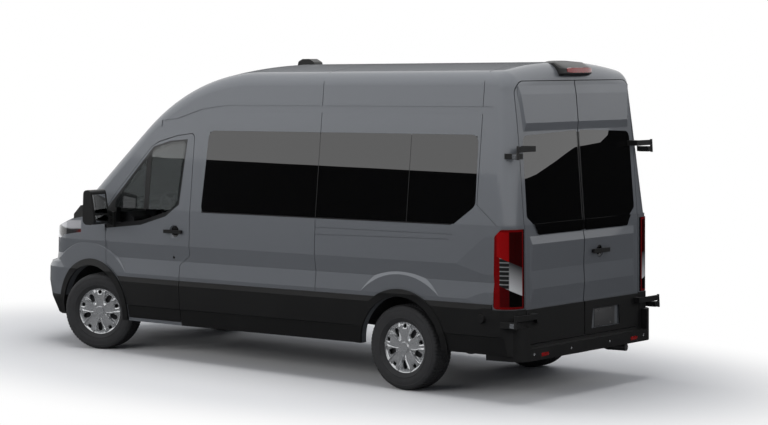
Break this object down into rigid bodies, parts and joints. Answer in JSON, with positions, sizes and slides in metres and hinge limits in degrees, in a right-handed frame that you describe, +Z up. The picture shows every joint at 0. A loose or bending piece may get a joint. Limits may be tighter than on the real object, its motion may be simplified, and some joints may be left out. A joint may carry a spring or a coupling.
{
  "type": "high-roof passenger minibus",
  "caption": "High-roof passenger minibus on a long wheelbase, with hinged cab and rear doors, a lifting hood, steered front wheels and free-turning wheels.",
  "frame": {"origin": "on the ground under the middle of the vehicle's length, on its centre plane", "axes": "+X forward, +Y to the vehicle's left, +Z up"},
  "size_m": [5.986, 2.51, 2.7383],
  "materials": {
    "body_paint": "metallic dark grey paint under clear coat",
    "black_plastic": "satin black moulded plastic",
    "privacy_glass": "dark tinted glass",
    "clear_glass": "lightly tinted glass",
    "lamp_clear": "clear lamp cover",
    "lamp_red": "glossy red lamp cover",
    "seat_cloth": "woven dark seat cloth",
    "cabin_plastic": "grained dark moulding",
    "underbody_steel": "black coated steel",
    "cast_iron": "dull cast surface",
    "tyre": "black rubber",
    "wheel_silver": "silver painted wheel with its cover"
  },
  "bodies": {
    "body": {"brake_lamp": "lamp_red", "cladding_left": "black_plastic", "cladding_right": "black_plastic", "cowl": "black_plastic", "dashboard": "cabin_plastic", "door_hinges": "black_plastic", "driveline": "underbody_steel", "engine": "cast_iron", "exhaust": "underbody_steel", "fenders": "body_paint", "firewall": "cabin_plastic", "floor": "underbody_steel", "front_bumper": "body_paint", "front_seats": "seat_cloth", "front_skirt": "black_plastic", "fuel_tank": "black_plastic", "grille": "black_plastic", "headlamps": "lamp_clear", "rear_axle": "cast_iron", "rear_bumper": "black_plastic", "rear_seats": "seat_cloth", "roof": "body_paint", "roof_pod": "black_plastic", "side_glass": "privacy_glass", "side_left": "body_paint", "side_right": "body_paint", "sliding_door": "body_paint", "subframe": "underbody_steel", "tail_lamps": "lamp_red", "wheelhouses": "underbody_steel", "windscreen": "clear_glass"},
    "hood": {"hood": "body_paint"},
    "door_front_left": {"front_door_left": "body_paint", "front_door_glass_left": "clear_glass", "front_door_trim_left": "black_plastic", "mirror_left": "black_plastic"},
    "door_front_right": {"front_door_right": "body_paint", "front_door_glass_right": "clear_glass", "front_door_trim_right": "black_plastic", "mirror_right": "black_plastic"},
    "door_rear_left": {"rear_door_left": "body_paint", "rear_glass_left": "privacy_glass", "rear_door_trim_left": "black_plastic"},
    "door_rear_right": {"rear_door_right": "body_paint", "rear_glass_right": "privacy_glass", "rear_door_trim_right": "black_plastic"},
    "knuckle_left": {"knuckle_left": "cast_iron"},
    "knuckle_right": {"knuckle_right": "cast_iron"},
    "steering_wheel": {"steering_wheel": "cabin_plastic"},
    "wheel_front_left": {"tyre_front_left": "tyre", "rim_front_left": "wheel_silver"},
    "wheel_front_right": {"tyre_front_right": "tyre", "rim_front_right": "wheel_silver"},
    "wheel_rear_left": {"tyre_rear_left": "tyre", "rim_rear_left": "wheel_silver"},
    "wheel_rear_right": {"tyre_rear_right": "tyre", "rim_rear_right": "wheel_silver"}
  },
  "joints": [
    {"name": "hood_hinge", "type": "hinge", "parent": "body", "child": "hood", "pos_m": [2.32407, 0, 1.2838], "axis": [0, -1, 0], "range_deg": [0, 55]},
    {"name": "front_door_left_hinge", "type": "hinge", "parent": "body", "child": "door_front_left", "pos_m": [1.76807, 0.993, 1.06366], "axis": [-0.0178, 0, -0.9998], "range_deg": [0, 70]},
    {"name": "front_door_right_hinge", "type": "hinge", "parent": "body", "child": "door_front_right", "pos_m": [1.76807, -0.993, 1.06366], "axis": [0.0178, 0, 0.9998], "range_deg": [0, 70]},
    {"name": "rear_door_left_hinge", "type": "hinge", "parent": "body", "child": "door_rear_left", "pos_m": [-2.9512, 1.002, 1.42773], "axis": [-0.0352, 0.0551, -0.9979], "range_deg": [0, 270]},
    {"name": "rear_door_right_hinge", "type": "hinge", "parent": "body", "child": "door_rear_right", "pos_m": [-2.9512, -1.002, 1.42773], "axis": [0.0352, 0.0551, 0.9979], "range_deg": [0, 270]},
    {"name": "steer_left", "type": "hinge", "parent": "body", "child": "knuckle_left", "pos_m": [1.9675, 0.75, 0.356], "axis": [0, 0, 1], "range_deg": [-55.5, 16.5]},
    {"name": "steer_right", "type": "hinge", "parent": "body", "child": "knuckle_right", "pos_m": [1.9675, -0.75, 0.356], "axis": [0, 0, 1], "range_deg": [-55.5, 16.5]},
    {"name": "spin_front_left", "type": "hinge", "parent": "knuckle_left", "child": "wheel_front_left", "pos_m": [1.92878, 0.85935, 0.356], "axis": [-0.3338, 0.9426, 0], "continuous": true},
    {"name": "spin_front_right", "type": "hinge", "parent": "knuckle_right", "child": "wheel_front_right", "pos_m": [2.00622, -0.85935, 0.356], "axis": [-0.3338, 0.9426, 0], "continuous": true},
    {"name": "spin_rear_left", "type": "hinge", "parent": "body", "child": "wheel_rear_left", "pos_m": [-1.7825, 0.8715, 0.356], "axis": [0, 1, 0], "continuous": true},
    {"name": "spin_rear_right", "type": "hinge", "parent": "body", "child": "wheel_rear_right", "pos_m": [-1.7825, -0.8715, 0.356], "axis": [0, 1, 0], "continuous": true},
    {"name": "steering_wheel_turn", "type": "hinge", "parent": "body", "child": "steering_wheel", "pos_m": [1.38422, 0.43, 1.30053], "axis": [-0.8385, 0, 0.5449], "range_deg": [-838, 253]}
  ],
  "couplings": [
    {"joint": "steer_right", "follows": "steer_left", "ratio": 1},
    {"joint": "steering_wheel_turn", "follows": "steer_left", "ratio": 15}
  ]
}
